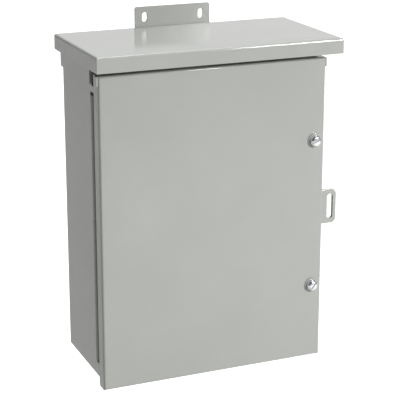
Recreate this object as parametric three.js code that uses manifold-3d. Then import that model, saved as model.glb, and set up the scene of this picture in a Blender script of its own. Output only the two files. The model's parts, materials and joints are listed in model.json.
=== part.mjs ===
// Outdoor sheet-steel enclosure with a drip-shield hood, a hinged door and an inner subpanel.
// Millimetres, +Z up, +X to the right of a person facing the door, door towards -Y.
// The origin is on the wall plane, midway between the two slots of the upper mounting bracket.

import * as THREE from 'three';
import { mergeVertices } from 'three/addons/utils/BufferGeometryUtils.js';
import Module from 'manifold-3d';

const wasm = await Module();
wasm.setup();

// ---------------------------------------------------------------- driving dimensions

const gauge = 1.9; // 14 gauge sheet
const gap = 0.35; // between pieces that touch
const bend = 3.2; // outside radius of a fold

const slotToTop = 13.7; // bracket slots to the end of its tab
const hoodTop = -12.7;
const bodyBottom = hoodTop - 423.2;

const doorWidth = 304.8;
const doorHeight = 406.4;
const doorDrop = 11.8; // how far the door hangs below the body
const doorFlange = 18.5;
const doorFront = -146.0;
const doorBack = doorFront + doorFlange;
const doorBottom = bodyBottom - doorDrop;
const doorTop = doorBottom + doorHeight;
const earHeight = 12; // corner tabs of the door's top flange
const earDepth = 12;

const bracketThickness = 2.7;
const wallHalf = doorWidth / 2; // outer face of a side wall
const bodyBack = -bracketThickness - 0.3;
const bodyFront = doorBack + 0.4;
const frontInner = bodyFront + gauge;
const lipWidth = 5; // return lip along the latch side
const bottomLip = 15;

const hoodHalf = 162.8;
const hoodBack = -4.5;
const hoodFront = -172.7;
const hoodFlange = 19.7;
const hoodBottom = hoodTop - hoodFlange;

const collarBottom = bodyBottom + 381; // lower edge of the top pan's side flanges
const plainWallTop = collarBottom - 1; // below this the side walls are bare
const collarHalf = wallHalf + gap + gauge;
const panTop = hoodTop - gauge - gap;
const cornerGap = 2 * gap; // where a square corner sits inside a fold
const wallTop = panTop - gauge - cornerGap;
const headerBottom = bodyBottom + 376;
const headerHalf = 148;
const reliefBack = -119.6; // corner relief beside the door's top corners
const reliefBottom = headerBottom + 3;
const underHoodRelief = { back: -108, bottom: hoodBottom - 2 };

const hingeBottom = bodyBottom + 19.2;
const hingeTop = bodyBottom + 366.8;
const knuckles = 13;
const hingeX = -151.2;
const hingeY = -119.0;
const barrelRadius = 2.6;
const pinRadius = 1.2;
const leafThickness = 1.6;
const hingeSlotBack = -115.0;
const hingeSlotEnds = [hingeBottom - 1.2, hingeTop + 4.2];

const latchX = doorWidth / 2 - 14.2;
const latchHeights = { upper: doorTop - 107.5, lower: doorTop - 305 };
const bossHeight = 1.5; // raised seat pressed into the door for each latch
const bossRadius = 10.2;
const latchHeadRadius = 7.4;
const latchShaftRadius = 3.4;
const latchRetainerRadius = 7;
const camReach = 12;

const hasp = { z: doorTop - 205, height: 46.5, reach: 28.5, slotWidth: 8.2, slotHeight: 34, slotInset: 9 };

const panelWidth = 229;
const panelHeight = 330;
const panelStandoff = 16;
const studSpacing = { x: 209.6, z: 311.2 };
const panelCentreZ = bodyBottom + 209;
const deviceField = { width: 180, height: 280 }; // clear middle of the plate, inside its fixings

// ---------------------------------------------------------------- materials

const paint = new THREE.MeshStandardMaterial({ color: 0xb4b6b2, roughness: 0.38, metalness: 0 });
const plated = new THREE.MeshStandardMaterial({ color: 0xd8dade, roughness: 0.18, metalness: 1 });
const zinc = new THREE.MeshStandardMaterial({ color: 0xb9bcc0, roughness: 0.4, metalness: 1 });
const white = new THREE.MeshStandardMaterial({ color: 0xe9e9e4, roughness: 0.45, metalness: 0 });

// ---------------------------------------------------------------- solids

function solidOf(geometry) {
  const flat = geometry.index ? geometry.toNonIndexed() : geometry;
  const bare = new THREE.BufferGeometry();
  bare.setAttribute('position', flat.getAttribute('position'));
  const merged = mergeVertices(bare, 1e-4);
  const vertProperties = new Float32Array(merged.getAttribute('position').array);
  const triVerts = new Uint32Array(merged.index.array);
  return new wasm.Manifold(new wasm.Mesh({ numProp: 3, vertProperties, triVerts }));
}

function geometryOf(solid) {
  const mesh = solid.getMesh();
  const geometry = new THREE.BufferGeometry();
  geometry.setAttribute('position', new THREE.BufferAttribute(mesh.vertProperties.slice(), 3));
  geometry.setIndex(new THREE.BufferAttribute(mesh.triVerts.slice(), 1));
  const facetted = geometry.toNonIndexed();
  facetted.computeVertexNormals();
  return facetted;
}

function box([x0, x1], [y0, y1], [z0, z1]) {
  const geometry = new THREE.BoxGeometry(x1 - x0, y1 - y0, z1 - z0);
  return solidOf(geometry.translate((x0 + x1) / 2, (y0 + y1) / 2, (z0 + z1) / 2));
}

// An outline in X and Z, made into a plate between two Y values.
function plateXZ(shape, [y0, y1], curveSegments = 5) {
  const geometry = new THREE.ExtrudeGeometry(shape, { depth: y1 - y0, bevelEnabled: false, curveSegments });
  return solidOf(geometry.rotateX(Math.PI / 2).translate(0, y1, 0));
}

// An outline in X and Y, made into a bar between two Z values.
function barXY(shape, [z0, z1], curveSegments = 5) {
  const geometry = new THREE.ExtrudeGeometry(shape, { depth: z1 - z0, bevelEnabled: false, curveSegments });
  return solidOf(geometry.translate(0, 0, z0));
}

// An outline in Y and Z, made into a bar between two X values.
function barYZ(shape, [x0, x1], curveSegments = 5) {
  const geometry = new THREE.ExtrudeGeometry(shape, { depth: x1 - x0, bevelEnabled: false, curveSegments });
  const turn = new THREE.Matrix4().makeBasis(
    new THREE.Vector3(0, 1, 0),
    new THREE.Vector3(0, 0, 1),
    new THREE.Vector3(1, 0, 0),
  );
  return solidOf(geometry.applyMatrix4(turn).translate(x0, 0, 0));
}

// A rectangle with its own radius at each corner: low-low, high-low, high-high, low-high.
function rectangle([a0, a1], [b0, b1], [r00, r10, r11, r01] = [0, 0, 0, 0]) {
  const shape = new THREE.Shape();
  shape.moveTo(a0 + r00, b0);
  shape.lineTo(a1 - r10, b0);
  if (r10) shape.absarc(a1 - r10, b0 + r10, r10, -Math.PI / 2, 0, false);
  shape.lineTo(a1, b1 - r11);
  if (r11) shape.absarc(a1 - r11, b1 - r11, r11, 0, Math.PI / 2, false);
  shape.lineTo(a0 + r01, b1);
  if (r01) shape.absarc(a0 + r01, b1 - r01, r01, Math.PI / 2, Math.PI, false);
  shape.lineTo(a0, b0 + r00);
  if (r00) shape.absarc(a0 + r00, b0 + r00, r00, Math.PI, Math.PI * 1.5, false);
  return shape;
}

function obround(x, z, width, height) {
  const r = width / 2 - 0.01;
  return rectangle([x - width / 2, x + width / 2], [z - height / 2, z + height / 2], [r, r, r, r]);
}

// Points [radius, y] turned about an axis along Y through (x, z).
function turnedY(points, x, z, segments = 24) {
  const profile = points.map(([radius, y]) => new THREE.Vector2(radius, y));
  const geometry = new THREE.LatheGeometry(profile, segments);
  return solidOf(geometry.translate(x, 0, z));
}

function cylinderZ(radius, [z0, z1], x, y, segments = 24) {
  const geometry = new THREE.CylinderGeometry(radius, radius, z1 - z0, segments);
  return solidOf(geometry.rotateX(Math.PI / 2).translate(x, y, (z0 + z1) / 2));
}

function cylinderY(radius, [y0, y1], x, z, segments = 24) {
  const geometry = new THREE.CylinderGeometry(radius, radius, y1 - y0, segments);
  return solidOf(geometry.translate(x, (y0 + y1) / 2, z));
}

// A block whose edges round one face are rounded, as a folded pan's are.
function roundedBlock(x, y, z, face, radius) {
  const r = radius;
  if (face === 'front') {
    return barXY(rectangle(x, y, [r, r, 0, 0]), z).intersect(barYZ(rectangle(y, z, [r, 0, 0, r]), x));
  }
  const side = face === 'top' ? [0, 0, r, r] : [r, r, 0, 0];
  return plateXZ(rectangle(x, z, side), y).intersect(barYZ(rectangle(y, z, side), x));
}

const root = new THREE.Group();

function add(name, solid, material) {
  const mesh = new THREE.Mesh(geometryOf(solid), material);
  mesh.name = name;
  root.add(mesh);
}

const mirrored = (pair) => [-pair[1], -pair[0]];

// ---------------------------------------------------------------- body

// Back and side walls, folded from one sheet.
function bodyShell() {
  const outer = rectangle([-wallHalf, wallHalf], [bodyFront, bodyBack], [0, 0, bend, bend]);
  const innerBend = bend - gauge;
  const inner = rectangle(
    [-wallHalf + gauge, wallHalf - gauge],
    [bodyFront - 1, bodyBack - gauge],
    [0, 0, innerBend, innerBend],
  );
  const lipX = [wallHalf - gauge - lipWidth, wallHalf - 0.5];
  const plainWall = barXY(outer, [bodyBottom, plainWallTop]);
  const coveredWall = barXY(outer, [plainWallTop, wallTop]);
  let shell = plainWall
    .add(coveredWall)
    .subtract(barXY(inner, [bodyBottom - 1, wallTop + 1]))
    .add(box(lipX, [bodyFront, frontInner], [bodyBottom + bottomLip + gap, headerBottom - gap]));

  const ends = [-wallHalf - 1, wallHalf + 1];
  shell = shell.subtract(box(ends, [bodyFront - 2, reliefBack], [reliefBottom, wallTop + 1]));
  const underHoodZ = [underHoodRelief.bottom, wallTop + 1];
  shell = shell.subtract(box(ends, [bodyFront - 2, underHoodRelief.back], underHoodZ));
  const slotX = [-wallHalf - 1, -wallHalf + gauge + 3];
  shell = shell.subtract(box(slotX, [bodyFront - 2, hingeSlotBack], hingeSlotEnds));

  const hole = hasp.height / 2 + 0.6;
  const haspZ = [hasp.z - hole, hasp.z + hole];
  const haspX = [wallHalf - gauge - lipWidth - 1, wallHalf + 1];
  return shell.subtract(box(haspX, [bodyFront - 1, bodyFront + gauge + gap], haspZ));
}

// Top of the body. Its side flanges lie outside the walls and its front flange closes the doorway's head.
function topPan() {
  const inner = roundedBlock(
    [-collarHalf + gauge, collarHalf - gauge],
    [bodyFront + gauge, bodyBack + 20],
    [headerBottom - 5, panTop - gauge],
    'top',
    bend - gauge,
  );
  let pan = roundedBlock(
    [-collarHalf, collarHalf],
    [bodyFront, bodyBack + 20],
    [headerBottom, panTop],
    'top',
    bend,
  ).subtract(inner);
  pan = pan.subtract(box([-200, 200], [bodyBack, bodyBack + 30], [headerBottom - 1, panTop + 1]));
  for (const side of [1, -1]) {
    const outside = side > 0 ? (pair) => pair : mirrored;
    const corner = outside([headerHalf, collarHalf + 1]);
    const flangeX = outside([wallHalf - 1, collarHalf + 1]);
    const skin = panTop - gauge - 1.4;
    pan = pan.subtract(box(corner, [bodyFront - 1, reliefBack], [headerBottom - 1, skin]));
    pan = pan.subtract(box(flangeX, [bodyFront - 1, underHoodRelief.back], [underHoodRelief.bottom, skin]));
    pan = pan.subtract(box(flangeX, [bodyFront - 1, bodyBack + 1], [headerBottom - 1, collarBottom]));
  }
  return pan;
}

// Floor of the body, with an upturned flange all round.
function bottomPan() {
  const half = wallHalf - gauge - cornerGap;
  const back = bodyBack - gauge - cornerGap;
  const height = [bodyBottom, bodyBottom + bottomLip];
  const outer = roundedBlock([-half, half], [bodyFront, back], height, 'bottom', bend);
  const inner = roundedBlock(
    [-half + gauge, half - gauge],
    [frontInner, back - gauge],
    [bodyBottom + gauge, bodyBottom + bottomLip + 5],
    'bottom',
    bend - gauge,
  );
  return outer.subtract(inner);
}

// Hood that throws rain clear of the door, open at the back.
function dripShield() {
  const outer = roundedBlock(
    [-hoodHalf, hoodHalf],
    [hoodFront, hoodBack + 20],
    [hoodBottom, hoodTop],
    'top',
    bend,
  );
  const inner = roundedBlock(
    [-hoodHalf + gauge, hoodHalf - gauge],
    [hoodFront + gauge, hoodBack + 20],
    [hoodBottom - 5, hoodTop - gauge],
    'top',
    bend - gauge,
  );
  const beyondBack = box([-200, 200], [hoodBack, hoodBack + 30], [hoodBottom - 9, hoodTop + 1]);
  return outer.subtract(inner).subtract(beyondBack);
}

// Wall bracket, a flat strip on the back with two upright slots in its free end.
function mountingBracket(slotZ, direction) {
  const half = 52.45;
  const free = slotZ + direction * slotToTop;
  const hidden = slotZ - direction * 58;
  const corner = 3;
  const z = direction > 0 ? [hidden, free] : [free, hidden];
  const radii = direction > 0 ? [0, 0, corner, corner] : [corner, corner, 0, 0];
  const y = [-bracketThickness, 0];
  let plate = plateXZ(rectangle([-half, half], z, radii), y);
  for (const x of [-39.2, 39.2]) {
    plate = plate.subtract(plateXZ(obround(x, slotZ, 7.1, 12.7), [y[0] - 1, y[1] + 1]));
  }
  return plate;
}

// Padlock plate: a leg inside the flange it is welded to, and a slotted tab that stands out to the right.
function padlockPlate(tabY, legY) {
  const x0 = wallHalf - gauge - gap - gauge;
  const x1 = wallHalf + hasp.reach;
  const z = [hasp.z - hasp.height / 2, hasp.z + hasp.height / 2];
  const tab = plateXZ(rectangle([x0, x1], z, [0, 7, 7, 0]), tabY, 8);
  const leg = box([x0, x0 + gauge], legY, z);
  const slot = obround(x1 - hasp.slotInset, hasp.z, hasp.slotWidth, hasp.slotHeight);
  return tab.add(leg).subtract(plateXZ(slot, [tabY[0] - 1, tabY[1] + 1], 8));
}

// ---------------------------------------------------------------- door

const bossFront = doorFront - bossHeight;
const bossInside = bossFront + gauge;

// Round seat pressed out of the door's face. Behind it the sheet is hollow by the same depth.
function latchBoss(z) {
  const root = doorFront + 0.5;
  const points = [
    [0, bossFront],
    [bossRadius - 1.5, bossFront],
    [bossRadius - 0.9, bossFront + 0.3],
    [bossRadius, doorFront],
    [bossRadius, root],
    [0, root],
  ];
  return turnedY(points, latchX, z, 32);
}

function latchBossHollow(z) {
  return cylinderY(latchRetainerRadius + 0.7, [bossInside, doorFront + gauge + 1], latchX, z, 32);
}

function doorPan() {
  const x = [-doorWidth / 2, doorWidth / 2];
  const z = [doorBottom, doorTop];
  const outer = roundedBlock(x, [doorFront, doorBack], z, 'front', bend);
  const inner = roundedBlock(
    [x[0] + gauge, x[1] - gauge],
    [doorFront + gauge, doorBack + 5],
    [z[0] + gauge, z[1] - gauge],
    'front',
    bend - gauge,
  );
  let pan = outer.subtract(inner);
  for (const ear of [[x[0] - gauge, x[0] + 0.2], [x[1] - 0.2, x[1] + gauge]]) {
    const y = [doorFront + 1.6, doorFront + earDepth];
    pan = pan.add(box(ear, y, [doorTop - earHeight, doorTop - 0.6]));
  }
  for (const height of Object.values(latchHeights)) {
    pan = pan.add(latchBoss(height)).subtract(latchBossHollow(height));
    pan = pan.subtract(cylinderY(latchShaftRadius + 0.6, [doorFront - 5, doorFront + 5], latchX, height));
  }
  const hole = hasp.height / 2 + 0.6;
  const notchY = [doorBack - gauge - 0.2 - gap, doorBack + 1];
  return pan.subtract(box([x[1] - gauge - 1, x[1] + 1], notchY, [hasp.z - hole, hasp.z + hole]));
}

// ---------------------------------------------------------------- hinge

// One leaf of the continuous hinge. It carries every second knuckle.
function hingeLeaf(firstKnuckle, plateY, footY) {
  const plateX = -wallHalf + gauge + 0.3;
  const length = [hingeBottom, hingeTop];
  const pitch = (hingeTop - hingeBottom) / knuckles;
  let leaf = box([plateX, plateX + leafThickness], plateY, length);
  for (let i = firstKnuckle; i < knuckles; i += 2) {
    const z = [hingeBottom + i * pitch + 0.2, hingeBottom + (i + 1) * pitch - 0.2];
    leaf = leaf.add(cylinderZ(barrelRadius, z, hingeX, hingeY));
    leaf = leaf.add(box([plateX, plateX + leafThickness], footY, z));
  }
  return leaf.subtract(cylinderZ(pinRadius + 0.3, [hingeBottom - 1, hingeTop + 1], hingeX, hingeY, 20));
}

function hingePin() {
  return cylinderZ(pinRadius, [hingeBottom - 0.6, hingeTop + 0.6], hingeX, hingeY, 20);
}

// ---------------------------------------------------------------- latches

const camY = [frontInner + 0.4, frontInner + 2.4];
const headBack = bossFront - gap;
const headHeight = 5.8;

// Slotted head and stepped shaft of a quarter-turn latch.
function latchHead(z, slotAngle) {
  const tail = camY[1] + 4.6;
  const neck = camY[0] - gap;
  const shape = turnedY(
    [
      [0, headBack - headHeight],
      [latchHeadRadius - 3.4, headBack - headHeight + 0.15],
      [latchHeadRadius - 1.5, headBack - headHeight + 0.8],
      [latchHeadRadius - 0.4, headBack - headHeight + 2],
      [latchHeadRadius, headBack - 2],
      [latchHeadRadius, headBack],
      [latchShaftRadius, headBack],
      [latchShaftRadius, neck],
      [2.6, neck],
      [2.6, tail],
      [0, tail],
    ],
    0,
    0,
    32,
  );
  const slot = box([-10, 10], [headBack - 9, headBack - headHeight + 3.2], [-0.85, 0.85]);
  const cut = shape.subtract(slot.rotate([0, -slotAngle, 0]));
  return cut.translate([latchX, 0, z]);
}

// Cam plate, hanging down while the latch is open and swung behind the body's lip when it is shut.
function latchCam(z) {
  const half = 3.25;
  const shape = new THREE.Shape();
  shape.moveTo(-half, 0);
  shape.lineTo(-half, -camReach + half);
  shape.absarc(0, -camReach + half, half, Math.PI, Math.PI * 2, false);
  shape.lineTo(half, 0);
  shape.absarc(0, 0, half + 0.001, 0, Math.PI, false);
  const plate = plateXZ(shape, camY, 8).add(cylinderY(4.6, camY, 0, 0));
  return plate.subtract(cylinderY(2.9, [camY[0] - 1, camY[1] + 1], 0, 0)).translate([latchX, 0, z]);
}

function ring(outerRadius, boreRadius, y, x, z, sides = 24) {
  return cylinderY(outerRadius, y, x, z, sides).subtract(cylinderY(boreRadius, [y[0] - 1, y[1] + 1], x, z));
}

const hexNut = (y, x, z, radius = 6.35, bore = 3.45) => ring(radius, bore, y, x, z, 6);

// ---------------------------------------------------------------- subpanel and fixings

const backInner = bodyBack - gauge - gap;
const panelBack = backInner - panelStandoff - gap;
const panelY = [panelBack - gauge, panelBack];
const washerY = [panelY[0] - gap - 1.4, panelY[0] - gap];
const nutY = [washerY[0] - gap - 5.4, washerY[0] - gap];
const studEnd = nutY[0] - 6;

const corners = [];
for (const [row, dz] of [['upper', 1], ['lower', -1]]) {
  for (const [side, dx] of [['left', -1], ['right', 1]]) {
    const x = (dx * studSpacing.x) / 2;
    const z = panelCentreZ + (dz * studSpacing.z) / 2;
    corners.push({ label: `${row}_${side}`, x, z });
  }
}

function subpanel() {
  const x = [-panelWidth / 2, panelWidth / 2];
  const z = [panelCentreZ - panelHeight / 2, panelCentreZ + panelHeight / 2];
  const field = box(
    [-deviceField.width / 2, deviceField.width / 2],
    panelY,
    [panelCentreZ - deviceField.height / 2, panelCentreZ + deviceField.height / 2],
  );
  let plate = plateXZ(rectangle(x, z, [4, 4, 4, 4]), panelY).subtract(field).add(field);
  for (const corner of corners) {
    plate = plate.subtract(cylinderY(3.7, [panelY[0] - 1, panelY[1] + 1], corner.x, corner.z));
  }
  return plate;
}

// Collar stud welded to the back wall: the collar holds the panel off, the thread takes the nut.
function collarStud(x, z) {
  const shoulder = backInner - panelStandoff;
  const points = [[0, backInner], [6.3, backInner], [6.3, shoulder], [3.1, shoulder], [3.1, studEnd + 0.6]];
  return turnedY([...points, [2.5, studEnd], [0, studEnd]].reverse(), x, z);
}

// Plain stud from one face to a free end, rear end first.
function plainStud(rear, front, x, z) {
  const side = [[2.5, front], [3.1, front + 0.6], [3.1, rear - 0.6], [2.5, rear]];
  return turnedY([[0, front], ...side, [0, rear]], x, z);
}

// ---------------------------------------------------------------- assembly

add('body_shell', bodyShell(), paint);
add('top_pan', topPan(), paint);
add('bottom_pan', bottomPan(), paint);
add('drip_shield', dripShield(), paint);
add('upper_mounting_bracket', mountingBracket(0, 1), paint);
add('lower_mounting_bracket', mountingBracket(bodyBottom - slotToTop + 1, -1), paint);

const bodyTabY = [bodyFront - 0.2, bodyFront - 0.2 + gauge];
const doorTabY = [doorBack - 0.2 - gauge, doorBack - 0.2];
add('body_staple', padlockPlate(bodyTabY, [bodyTabY[0], bodyTabY[1] + 20]), paint);
add('door_hasp', padlockPlate(doorTabY, [doorFront + gauge + 2, doorTabY[1]]), paint);

add('door_pan', doorPan(), paint);
add('hinge_body_leaf', hingeLeaf(0, [-116.2, -98], [-119.5, -116]), paint);
add('hinge_door_leaf', hingeLeaf(1, [-141.5, -121.8], [-122, -118.5]), paint);
add('hinge_pin', hingePin(), zinc);

for (const [label, z] of Object.entries(latchHeights)) {
  const retainerY = [bossInside + gap, bossInside + gap + 1.6];
  const retainer = ring(latchRetainerRadius, latchShaftRadius + 0.4, retainerY, latchX, z);
  add(`${label}_latch_retainer`, retainer, zinc);
  add(`${label}_latch_head`, latchHead(z, label === 'upper' ? 24 : 46), plated);
  add(`${label}_latch_cam`, latchCam(z), zinc);
  add(`${label}_latch_cam_nut`, hexNut([camY[1] + gap, camY[1] + 3.6], latchX, z, 5.2, 2.95), zinc);
}

add('subpanel', subpanel(), white);
for (const { label, x, z } of corners) {
  add(`${label}_collar_stud`, collarStud(x, z), zinc);
  add(`${label}_panel_washer`, ring(8, 3.5, washerY, x, z), zinc);
  add(`${label}_panel_nut`, hexNut(nutY, x, z), zinc);
}

const ground = { x: 132.5, z: bodyBottom + 45 };
add('ground_stud', plainStud(backInner, backInner - 22, ground.x, ground.z), zinc);
add('ground_washer', ring(8, 3.5, [backInner - 9, backInner - 7.6], ground.x, ground.z), zinc);
add('ground_nut', hexNut([backInner - 14.8, backInner - 9.4], ground.x, ground.z), zinc);

const bond = { x: -128, z: doorBottom + 40 };
const doorInside = doorFront + gauge + gap;
add('door_bond_stud', plainStud(doorInside + 17, doorInside, bond.x, bond.z), zinc);
add('door_bond_nut', hexNut([doorInside + 4, doorInside + 9.4], bond.x, bond.z), zinc);

export default root;
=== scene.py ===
import json
import math

import bpy
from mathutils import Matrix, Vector


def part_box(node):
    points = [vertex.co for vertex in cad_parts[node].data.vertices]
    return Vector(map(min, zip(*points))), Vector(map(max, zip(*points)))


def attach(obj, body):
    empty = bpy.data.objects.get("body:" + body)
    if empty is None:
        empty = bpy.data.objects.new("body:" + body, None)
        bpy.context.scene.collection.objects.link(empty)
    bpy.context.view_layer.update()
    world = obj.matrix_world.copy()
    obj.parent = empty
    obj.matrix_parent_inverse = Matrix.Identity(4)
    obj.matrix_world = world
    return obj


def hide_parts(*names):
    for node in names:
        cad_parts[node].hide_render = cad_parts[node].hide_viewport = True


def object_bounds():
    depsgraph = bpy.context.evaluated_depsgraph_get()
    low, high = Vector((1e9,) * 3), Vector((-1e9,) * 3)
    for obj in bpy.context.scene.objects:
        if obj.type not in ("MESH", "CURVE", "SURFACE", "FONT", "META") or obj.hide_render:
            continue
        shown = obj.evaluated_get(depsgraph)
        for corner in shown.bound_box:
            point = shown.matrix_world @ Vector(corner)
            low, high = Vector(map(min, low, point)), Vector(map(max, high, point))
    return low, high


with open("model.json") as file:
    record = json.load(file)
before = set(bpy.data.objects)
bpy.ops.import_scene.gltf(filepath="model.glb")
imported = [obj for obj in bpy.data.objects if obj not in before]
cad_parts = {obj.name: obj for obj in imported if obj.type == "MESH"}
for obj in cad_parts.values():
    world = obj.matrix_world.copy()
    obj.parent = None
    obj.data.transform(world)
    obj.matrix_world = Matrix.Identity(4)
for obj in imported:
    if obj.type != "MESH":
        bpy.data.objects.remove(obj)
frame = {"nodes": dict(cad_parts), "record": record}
cad_low, cad_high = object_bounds()
nodes = frame["nodes"]


# ---------------------------------------------------------------- named numbers

MM = 0.001

# Viewpoint: from the left of the door and above it, with a long lens.
AZIMUTH, ELEVATION = math.radians(-22.74), math.radians(16.03)
TARGET = (0.0064, -0.080, -0.1887)
DISTANCE = 1.800
LENS, SENSOR = 124.6, 36.0
SHIFT_Y = -0.08
CLIP_NEAR, CLIP_FAR = 0.05, 60

# Powder coat: its clouds run between these shares of the tone.
COAT_DARKER, COAT_LIGHTER = 0.955, 1.035
CLOUD_SHARE, SPECK_SHARE = 0.8, 0.2

# Edges. Angles are in degrees.
JOIN_DISTANCE = 1e-6
FLAT_ANGLE = 0.5
BEVEL_ANGLE = 35
BEVEL_SEGMENTS = 3
SHARP_ANGLE = 40
EDGE_WIDTH = {"grey_powder_coat": 0.45 * MM, "white_enamel": 0.4 * MM, "plated_latch": 0.3 * MM}
SMALL_EDGE_WIDTH = 0.2 * MM

# Studs. The shares are of the thread's crest radius.
STUD_RADIUS, STUD_PITCH = 3.1 * MM, 1.27 * MM
STUD_SIDES = 32
ROWS_PER_PITCH = 8
THREAD_DEPTH = 0.55  # of the pitch
THREAD_STEEPNESS, THREAD_FLAT = 1.3, 0.15
TIP_SHARE, RUN_IN_SHARE, ROOT_SHARE = 0.74, 0.80, 0.82
RUN_IN_LENGTH = 1.6 * MM
THREAD_START = 0.7 * MM
THREAD_MARGIN = 0.9 * MM
FOOT_LENGTH = 0.6 * MM
COLLAR_GAP = 0.35 * MM
COLLAR_CHAMFER = 0.5 * MM

# Nuts. Depths are shares of the height and radii shares of the corner radius, except the sink's.
NUT_SIDES = 72
NUT_BORE = 0.543
NUT_SINK = 1.10  # of the bore
NUT_SINK_DEPTH = 0.06
NUT_CHAMFER_DEPTH = 0.16
NUT_CHAMFER_ROWS = 4
NUT_CONE_RADIUS, NUT_CONE_SLOPE = 0.865, 1.73

# Weld beads.
WELD_WIDTH, WELD_INSET = 2.8 * MM, 9 * MM
WELD_STEP, WELD_LEAST_STEPS = 0.45 * MM, 12
WELD_ARC = 9
WELD_RIPPLE, WELD_RIPPLE_STEPS = 0.10, 5
WELD_END_SIZE, WELD_END_GROWTH = 0.25, 5
WELD_FLATNESS = 0.7

# Floor. The cabinet hangs clear of it, as it does on a wall.
FLOOR_SIZE = 30
FLOOR_DROP = 0.45
FLOOR_GLOW, FLOOR_SEEN = 0.05, 0.80

# Room: each patch is a direction, the cosines where it starts and is full, and its strength.
WORLD_SEEN = 1.05
WORLD_BASE = 0.12
WORLD_PATCHES = (
    ((0.42, 0.9, 0.22), 0.72, 0.90, 0.8),  # backdrop, seen in the hood's top
    ((0.75, -0.6, 0.3), 0.2, 0.95, 0.25),  # fill from the right of the door
)


# ---------------------------------------------------------------- camera

def make_camera():
    back = Vector((
        math.sin(AZIMUTH) * math.cos(ELEVATION),
        -math.cos(AZIMUTH) * math.cos(ELEVATION),
        math.sin(ELEVATION),
    ))
    camera = bpy.data.objects.new("camera", bpy.data.cameras.new("camera"))
    camera.data.lens = LENS
    camera.data.sensor_width = SENSOR
    camera.data.shift_y = SHIFT_Y
    camera.data.clip_start, camera.data.clip_end = CLIP_NEAR, CLIP_FAR
    camera.location = Vector(TARGET) + back * DISTANCE
    camera.rotation_mode = "QUATERNION"
    camera.rotation_quaternion = (-back).to_track_quat("-Z", "Y")
    bpy.context.collection.objects.link(camera)
    bpy.context.scene.camera = camera


# ---------------------------------------------------------------- shader helpers

class Shader:
    """A material under construction: adds nodes and links them in one call each."""

    def __init__(self, name):
        self.material = bpy.data.materials.new(name)
        self.material.use_nodes = True
        self.tree = self.material.node_tree
        self.surface = self.tree.nodes["Principled BSDF"]
        self.position = self.tree.nodes.new("ShaderNodeTexCoord").outputs["Object"]

    def node(self, kind, inputs=None, **settings):
        made = self.tree.nodes.new(kind)
        for key, value in settings.items():
            setattr(made, key, value)
        for key, value in (inputs or {}).items():
            if isinstance(value, bpy.types.NodeSocket):
                self.tree.links.new(value, made.inputs[key])
            else:
                made.inputs[key].default_value = value
        return made

    def stretched(self, scale):
        inputs = {"Vector": self.position, "Scale": scale}
        return self.node("ShaderNodeMapping", inputs).outputs["Vector"]

    def noise(self, scale, detail=2.0, roughness=0.5, vector=None):
        inputs = {
            "Vector": vector or self.position,
            "Scale": scale,
            "Detail": detail,
            "Roughness": roughness,
        }
        return self.node("ShaderNodeTexNoise", inputs).outputs["Fac"]

    def ramp(self, value, low, high, start=0.0, end=1.0):
        inputs = {"Value": value, "From Min": start, "From Max": end, "To Min": low, "To Max": high}
        return self.node("ShaderNodeMapRange", inputs).outputs["Result"]

    def math(self, operation, a, b):
        return self.node("ShaderNodeMath", {0: a, 1: b}, operation=operation).outputs[0]

    def mix(self, factor, a, b):
        inputs = {0: factor, 6: a, 7: b}
        return self.node("ShaderNodeMix", inputs, data_type="RGBA").outputs[2]

    def bump(self, height, strength, distance, normal=None):
        inputs = {"Height": height, "Strength": strength, "Distance": distance}
        if normal is not None:
            inputs["Normal"] = normal
        return self.node("ShaderNodeBump", inputs).outputs["Normal"]

    def set(self, **sockets):
        for key, value in sockets.items():
            socket = self.surface.inputs[key.replace("_", " ")]
            if isinstance(value, bpy.types.NodeSocket):
                self.tree.links.new(value, socket)
            else:
                socket.default_value = value
        return self.material


def rgb(red, green, blue):
    """A colour given as it looks on a screen, 0 to 255."""
    def linear(value):
        value /= 255
        return value / 12.92 if value <= 0.04045 else ((value + 0.055) / 1.055) ** 2.4
    return (linear(red), linear(green), linear(blue), 1.0)


# ---------------------------------------------------------------- materials

def powder_coat(name, tone):
    """Semi-gloss powder coat: a faint cloudiness and fine orange peel under a smooth gloss."""
    s = Shader(name)
    light = tuple(min(1.0, c * COAT_LIGHTER) for c in tone[:3]) + (1.0,)
    dark = tuple(c * COAT_DARKER for c in tone[:3]) + (1.0,)
    cloud = s.noise(scale=9.0, detail=3.0, roughness=0.55)
    speck = s.noise(scale=900.0, detail=1.0)
    clouds = s.math("MULTIPLY", cloud, CLOUD_SHARE)
    shade = s.math("ADD", clouds, s.math("MULTIPLY", speck, SPECK_SHARE))
    peel = s.noise(scale=420.0, detail=2.0, roughness=0.45)
    swell = s.noise(scale=60.0, detail=1.0)
    normal = s.bump(peel, strength=0.05, distance=0.00004)
    normal = s.bump(swell, strength=0.05, distance=0.00016, normal=normal)
    return s.set(
        Base_Color=s.mix(s.ramp(shade, 0.0, 1.0, start=0.3, end=0.7), dark, light),
        Roughness=s.ramp(cloud, 0.10, 0.14, start=0.3, end=0.7),
        IOR=1.5,
        Normal=normal,
    )


def nickel_plate(name):
    """Bright nickel: a mirror with hairline polishing marks and faint staining."""
    s = Shader(name)
    hairline = s.noise(scale=60.0, detail=4.0, roughness=0.7, vector=s.stretched((2.0, 2.0, 60.0)))
    stain = s.ramp(s.noise(scale=160.0, detail=3.0), 0.0, 1.0, start=0.35, end=0.7)
    return s.set(
        Base_Color=s.mix(stain, rgb(214, 216, 219), rgb(240, 241, 243)),
        Metallic=1.0,
        Roughness=s.ramp(hairline, 0.10, 0.24, start=0.3, end=0.7),
        Normal=s.bump(hairline, strength=0.10, distance=0.00004),
    )


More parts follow.
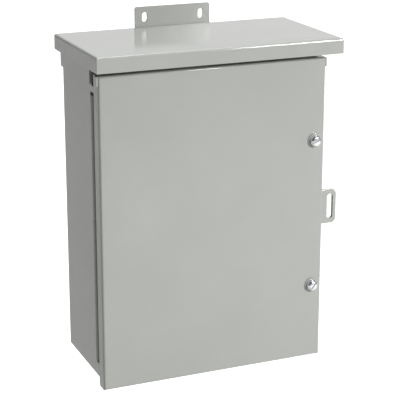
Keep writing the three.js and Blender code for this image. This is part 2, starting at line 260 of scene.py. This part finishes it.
def zinc_plate(name):
    """Clear zinc on steel: satin, with a cloudy bluish to warm cast and a fine grain."""
    s = Shader(name)
    cast = s.noise(scale=85.0, detail=4.0, roughness=0.6)
    grain = s.noise(scale=700.0, detail=2.0, roughness=0.6)
    warmth = s.ramp(cast, 0.0, 1.0, start=0.35, end=0.65)
    return s.set(
        Base_Color=s.mix(warmth, rgb(182, 188, 196), rgb(214, 212, 204)),
        Metallic=1.0,
        Roughness=s.ramp(cast, 0.26, 0.42, start=0.3, end=0.7),
        Normal=s.bump(grain, strength=0.14, distance=0.00005),
    )


def drawn_stainless(name):
    """Cold-drawn rod: long fine lines down the length."""
    s = Shader(name)
    lines = s.noise(scale=900.0, detail=3.0, roughness=0.6, vector=s.stretched((1.0, 1.0, 0.02)))
    return s.set(
        Base_Color=s.mix(lines, rgb(150, 150, 150), rgb(205, 204, 202)),
        Metallic=1.0,
        Roughness=s.ramp(lines, 0.22, 0.38, start=0.3, end=0.7),
        Normal=s.bump(lines, strength=0.12, distance=0.00004),
    )


def white_enamel(name):
    """White baked enamel with a fine, flatter texture than the outside's powder coat."""
    s = Shader(name)
    cloud = s.noise(scale=12.0, detail=3.0)
    texture = s.noise(scale=800.0, detail=2.0, roughness=0.5)
    return s.set(
        Base_Color=s.mix(cloud, rgb(194, 195, 191), rgb(203, 204, 200)),
        Roughness=s.ramp(texture, 0.34, 0.46, start=0.3, end=0.7),
        Normal=s.bump(texture, strength=0.10, distance=0.00006),
    )


def pale_floor(name):
    """White to the camera, as a lit sweep is, and greyer to the object that it lights."""
    s = Shader(name)
    cloud = s.noise(scale=1.2, detail=3.0)
    seen = s.node("ShaderNodeLightPath").outputs["Is Camera Ray"]
    return s.set(
        Base_Color=s.mix(cloud, rgb(186, 186, 185), rgb(192, 192, 191)),
        Roughness=0.9,
        Emission_Color=(1, 1, 1, 1),
        Emission_Strength=s.ramp(seen, FLOOR_GLOW, FLOOR_SEEN),
    )


# ---------------------------------------------------------------- mesh helpers

def new_piece(name, verts, faces, slot, body):
    """A new mesh that rides on a body and takes its finish from a slot."""
    mesh = bpy.data.meshes.new(name)
    mesh.from_pydata(verts, [], faces)
    mesh.update()
    mesh.materials.append(finish[slot])
    piece = bpy.data.objects.new(name, mesh)
    bpy.context.collection.objects.link(piece)
    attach(piece, body)
    return piece


def turned(rows, sides, radius_at, x, z):
    """Rings about a Y axis through (x, z), joined by walls and open at both ends.

    rows are (y, kind) and radius_at(kind, y, angle) is in metres.
    """
    verts, faces = [], []
    for y, kind in rows:
        for i in range(sides):
            angle = math.tau * i / sides
            radius = radius_at(kind, y, angle)
            verts.append((x + radius * math.sin(angle), y, z + radius * math.cos(angle)))
    for row in range(len(rows) - 1):
        for i in range(sides):
            a = row * sides + i
            b = row * sides + (i + 1) % sides
            faces.append((a, b, b + sides, a + sides))
    return verts, faces


def flipped(faces):
    return [tuple(reversed(face)) for face in faces]


def shade_by_angle():
    """A modifier tree that shades smooth across shallow angles and keeps sharper ones crisp."""
    tree = bpy.data.node_groups.new("shade_by_angle", "GeometryNodeTree")
    tree.interface.new_socket("Geometry", in_out="INPUT", socket_type="NodeSocketGeometry")
    tree.interface.new_socket("Geometry", in_out="OUTPUT", socket_type="NodeSocketGeometry")
    start = tree.nodes.new("NodeGroupInput")
    end = tree.nodes.new("NodeGroupOutput")
    angle = tree.nodes.new("GeometryNodeInputMeshEdgeAngle")
    gentle = tree.nodes.new("FunctionNodeCompare")
    gentle.operation = "LESS_EQUAL"
    gentle.inputs[1].default_value = math.radians(SHARP_ANGLE)
    faces = tree.nodes.new("GeometryNodeSetShadeSmooth")
    edges = tree.nodes.new("GeometryNodeSetShadeSmooth")
    edges.domain = "EDGE"
    tree.links.new(start.outputs[0], faces.inputs["Geometry"])
    tree.links.new(faces.outputs[0], edges.inputs["Geometry"])
    tree.links.new(angle.outputs["Unsigned Angle"], gentle.inputs[0])
    tree.links.new(gentle.outputs["Result"], edges.inputs["Shade Smooth"])
    tree.links.new(edges.outputs[0], end.inputs[0])
    return tree


def smooth_shade(piece):
    shade = piece.modifiers.new("shade", "NODES")
    shade.node_group = shading
    weigh = piece.modifiers.new("weigh", "WEIGHTED_NORMAL")
    weigh.keep_sharp = True


def soften(node, width):
    """Joins split corners and flat triangles, rounds cut edges and shades folds smoothly."""
    join = node.modifiers.new("join", "WELD")
    join.merge_threshold = JOIN_DISTANCE
    flat = node.modifiers.new("flat", "DECIMATE")
    flat.decimate_type = "DISSOLVE"
    flat.angle_limit = math.radians(FLAT_ANGLE)
    bevel = node.modifiers.new("edge", "BEVEL")
    bevel.width = width
    bevel.segments = BEVEL_SEGMENTS
    bevel.limit_method = "ANGLE"
    bevel.angle_limit = math.radians(BEVEL_ANGLE)
    smooth_shade(node)


def finish_cad_nodes():
    """Gives every CAD node its slot's material and its edges."""
    for row in frame["record"]["subparts"]:
        slot = row["material_slot"]
        node = nodes[row["node"]]
        node.data.materials.clear()
        node.data.materials.append(finish[slot])
        soften(node, EDGE_WIDTH.get(slot, SMALL_EDGE_WIDTH))


# ---------------------------------------------------------------- fasteners

def node_frame(name):
    """Centre in X and Z, and the Y range, of a CAD node."""
    low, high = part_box(name)
    return (low.x + high.x) / 2, (low.z + high.z) / 2, low.y, high.y


def thread_radius(y, angle):
    """Radius of a helical 60 degree thread, worn flat at crest and root."""
    wave = abs(((y / STUD_PITCH - angle / math.tau) % 1.0) * 2 - 1)
    cut = min(1.0, max(0.0, wave * THREAD_STEEPNESS - THREAD_FLAT))
    return STUD_RADIUS - THREAD_DEPTH * STUD_PITCH * cut


def threaded_stud(node, body, collar_to=None):
    """Threaded stud on a welded foot or collar, pointing towards -Y."""
    x, z, front, back = node_frame(node)
    low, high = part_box(node)
    foot_radius = (high.x - low.x) / 2
    step = STUD_PITCH / ROWS_PER_PITCH
    thread_back = collar_to if collar_to is not None else back - FOOT_LENGTH
    rows = [(front, "tip")]
    for i in range(int((thread_back - front - THREAD_MARGIN) / step) + 1):
        rows.append((front + THREAD_START + i * STUD_PITCH / ROWS_PER_PITCH, "thread"))
    rows.append((thread_back, "root"))
    if collar_to is not None:
        rows += [(thread_back, "chamfer"), (thread_back + COLLAR_CHAMFER, "foot"), (back, "foot")]
    else:
        rows.append((back, "root"))
    plain_radius = {
        "tip": STUD_RADIUS * TIP_SHARE,
        "root": STUD_RADIUS * ROOT_SHARE,
        "foot": foot_radius,
        "chamfer": foot_radius - COLLAR_CHAMFER,
    }

    def radius_at(kind, y, angle):
        if kind != "thread":
            return plain_radius[kind]
        run_in = min(1.0, (y - front) / RUN_IN_LENGTH)
        start = STUD_RADIUS * RUN_IN_SHARE
        return start + (thread_radius(y, angle) - start) * run_in

    verts, faces = turned(rows, STUD_SIDES, radius_at, x, z)
    count = len(verts)
    faces.append(tuple(range(STUD_SIDES)))
    faces.append(tuple(reversed(range(count - STUD_SIDES, count))))
    piece = new_piece(node + "_threaded", verts, flipped(faces), "zinc_plate", body)
    smooth_shade(piece)
    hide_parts(node)


def chamfered_nut(node, body):
    """Hexagon nut with turned chamfers on both faces and a countersunk bore."""
    x, z, front, back = node_frame(node)
    low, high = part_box(node)
    corner = (high.z - low.z) / 2
    bore = corner * NUT_BORE
    height = back - front
    sink = NUT_SINK_DEPTH * height
    drop = NUT_CHAMFER_DEPTH * height
    steps = range(1, NUT_CHAMFER_ROWS + 1)
    rows = [(front + sink, "bore"), (front, "sink"), (front, "face")]
    rows += [(front + drop * k / NUT_CHAMFER_ROWS, "side") for k in steps]
    rows += [(back - drop * k / NUT_CHAMFER_ROWS, "side") for k in reversed(steps)]
    rows += [(back, "face"), (back, "sink"), (back - sink, "bore")]

    def radius_at(kind, y, angle):
        if kind == "bore":
            return bore
        if kind == "sink":
            return bore * NUT_SINK
        turn = angle % (math.pi / 3) - math.pi / 6
        hexagon = corner * math.cos(math.pi / 6) / math.cos(turn)
        cone = corner * NUT_CONE_RADIUS + min(y - front, back - y) * NUT_CONE_SLOPE
        return min(hexagon, cone)

    verts, faces = turned(rows, NUT_SIDES, radius_at, x, z)
    last = len(verts) - NUT_SIDES
    for i in range(NUT_SIDES):
        beside = (i + 1) % NUT_SIDES
        faces.append((last + i, last + beside, beside, i))
    piece = new_piece(node + "_turned", verts, flipped(faces), "zinc_plate", body)
    smooth_shade(piece)
    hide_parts(node)


def replace_fasteners():
    """Swaps the plain studs and nuts for threaded and chamfered ones."""
    bodies = frame["record"]["behaviour"]["bodies"]
    body_of = {name: body for body, names in bodies.items() for name in names}
    panel_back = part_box("subpanel")[1].y
    for row in frame["record"]["subparts"]:
        name = row["node"]
        if name.endswith("collar_stud"):
            threaded_stud(name, body_of[name], panel_back + COLLAR_GAP)
        elif name.endswith("_stud"):
            threaded_stud(name, body_of[name])
        elif name.endswith("_nut"):
            chamfered_nut(name, body_of[name])


# ---------------------------------------------------------------- welds

def weld_bead(name, start, end, out, width, body):
    """Rippled bead along a seam: a flattened tube, half sunk in the plates that it joins."""
    start, end, out = Vector(start), Vector(end), Vector(out).normalized()
    run = (end - start).normalized()
    across = run.cross(out)
    steps = max(WELD_LEAST_STEPS, int((end - start).length / WELD_STEP))
    verts, faces = [], []
    for i in range(steps + 1):
        t = i / steps
        swell = min(1.0, WELD_END_GROWTH * min(t, 1 - t) + WELD_END_SIZE)
        ripple = 1 + WELD_RIPPLE * math.cos(i * math.tau / WELD_RIPPLE_STEPS)
        radius = width * 0.5 * swell * ripple
        for k in range(WELD_ARC):
            angle = math.tau * (k / (WELD_ARC - 1))
            offset = across * math.cos(angle) * radius
            offset += out * math.sin(angle) * radius * WELD_FLATNESS
            verts.append(start.lerp(end, t) + offset)
    for i in range(steps):
        for k in range(WELD_ARC - 1):
            a = i * WELD_ARC + k
            b = a + WELD_ARC
            faces.append((a, a + 1, b + 1, b))
    last = steps * WELD_ARC
    faces.append(tuple(reversed(range(WELD_ARC - 1))))
    faces.append(tuple(range(last, last + WELD_ARC - 1)))
    piece = new_piece(name, verts, faces, "grey_powder_coat", body)
    merge = piece.modifiers.new("merge", "WELD")
    merge.merge_threshold = JOIN_DISTANCE
    smooth_shade(piece)


def weld_brackets():
    """Beads down both sides of each mounting bracket, where it meets the back wall."""
    wall_low, wall_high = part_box("body_shell")
    for name in ("upper_mounting_bracket", "lower_mounting_bracket"):
        low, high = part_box(name)
        top = min(high.z, wall_high.z) - WELD_INSET
        bottom = max(low.z, wall_low.z) + WELD_INSET
        for side, x, outwards in (("left", low.x, -1), ("right", high.x, 1)):
            start, end = (x, wall_high.y, bottom), (x, wall_high.y, top)
            weld_bead(f"{name}_{side}_weld", start, end, (outwards, 1, 0), WELD_WIDTH, "cabinet")


# ---------------------------------------------------------------- floor, room and lamps

def make_floor():
    bpy.ops.mesh.primitive_plane_add(size=1)
    floor = bpy.context.object
    floor.name = "floor"
    floor.scale = (FLOOR_SIZE, FLOOR_SIZE, 1)
    floor.location = (0, 0, cad_low.z - FLOOR_DROP)
    floor.data.materials.append(pale_floor("pale_floor"))


def make_world():
    """A dim room with a bright patch behind the cabinet and a weak one to the right of its door.

    The camera itself sees it white.
    """
    world = bpy.data.worlds.new("studio")
    bpy.context.scene.world = world
    world.use_nodes = True
    tree = world.node_tree
    background = tree.nodes["Background"]
    direction = tree.nodes.new("ShaderNodeTexCoord").outputs["Generated"]

    def patch(towards, start, end, strength):
        dot = tree.nodes.new("ShaderNodeVectorMath")
        dot.operation = "DOT_PRODUCT"
        tree.links.new(direction, dot.inputs[0])
        dot.inputs[1].default_value = Vector(towards).normalized()
        ramp = tree.nodes.new("ShaderNodeMapRange")
        ramp.interpolation_type = "SMOOTHSTEP"
        tree.links.new(dot.outputs["Value"], ramp.inputs["Value"])
        ramp.inputs["From Min"].default_value = start
        ramp.inputs["From Max"].default_value = end
        ramp.inputs["To Max"].default_value = strength
        return ramp.outputs["Result"]

    def plus(a, b):
        adder = tree.nodes.new("ShaderNodeMath")
        adder.operation = "ADD"
        tree.links.new(a, adder.inputs[0])
        if isinstance(b, bpy.types.NodeSocket):
            tree.links.new(b, adder.inputs[1])
        else:
            adder.inputs[1].default_value = b
        return adder.outputs[0]

    backdrop, fill = (patch(*each) for each in WORLD_PATCHES)
    shown = plus(plus(backdrop, fill), WORLD_BASE)
    path = tree.nodes.new("ShaderNodeLightPath")
    white = tree.nodes.new("ShaderNodeMix")
    tree.links.new(path.outputs["Is Camera Ray"], white.inputs[0])
    tree.links.new(shown, white.inputs[2])
    white.inputs[3].default_value = WORLD_SEEN
    tree.links.new(white.outputs[0], background.inputs["Strength"])
    background.inputs["Color"].default_value = (1, 1, 1, 1)


def new_lamp(name, light, towards):
    """A lamp that shines from the given direction."""
    lamp = bpy.data.objects.new(name, light)
    lamp.rotation_mode = "QUATERNION"
    lamp.rotation_quaternion = Vector(towards).to_track_quat("Z", "Y")
    bpy.context.collection.objects.link(lamp)
    return lamp


def sun(name, towards, power, angle):
    light = bpy.data.lights.new(name, "SUN")
    light.energy = power
    light.angle = math.radians(angle)
    return new_lamp(name, light, towards)


def softbox(name, towards, distance, height, size, watts):
    """A round lamp that faces the cabinet's middle."""
    light = bpy.data.lights.new(name, "AREA")
    light.shape = "DISK"
    light.size = size
    light.energy = watts
    middle = (cad_low + cad_high) / 2
    flat = Vector((towards[0], towards[1], 0)).normalized()
    place = middle + flat * distance + Vector((0, 0, height))
    new_lamp(name, light, place - middle).location = place


def make_light():
    make_world()
    softbox("key", towards=(0.49, -0.87), distance=2.6, height=0.93, size=0.45, watts=82)
    sun("overhead", towards=(0.10, 0.20, 1.0), power=3.0, angle=40)
    sun("rear", towards=(-0.24, 1.0, 0.05), power=1.2, angle=16).visible_glossy = False


# ---------------------------------------------------------------- the scene

make_camera()
finish = {
    "grey_powder_coat": powder_coat("grey_powder_coat", rgb(148, 150, 146)),
    "plated_latch": nickel_plate("plated_latch"),
    "zinc_plate": zinc_plate("zinc_plate"),
    "stainless_steel": drawn_stainless("stainless_steel"),
    "white_enamel": white_enamel("white_enamel"),
}
shading = shade_by_angle()
finish_cad_nodes()
replace_fasteners()
weld_brackets()
make_floor()
make_light()
scene = bpy.context.scene
scene.view_settings.view_transform = "Standard"
scene.view_settings.look = "None"
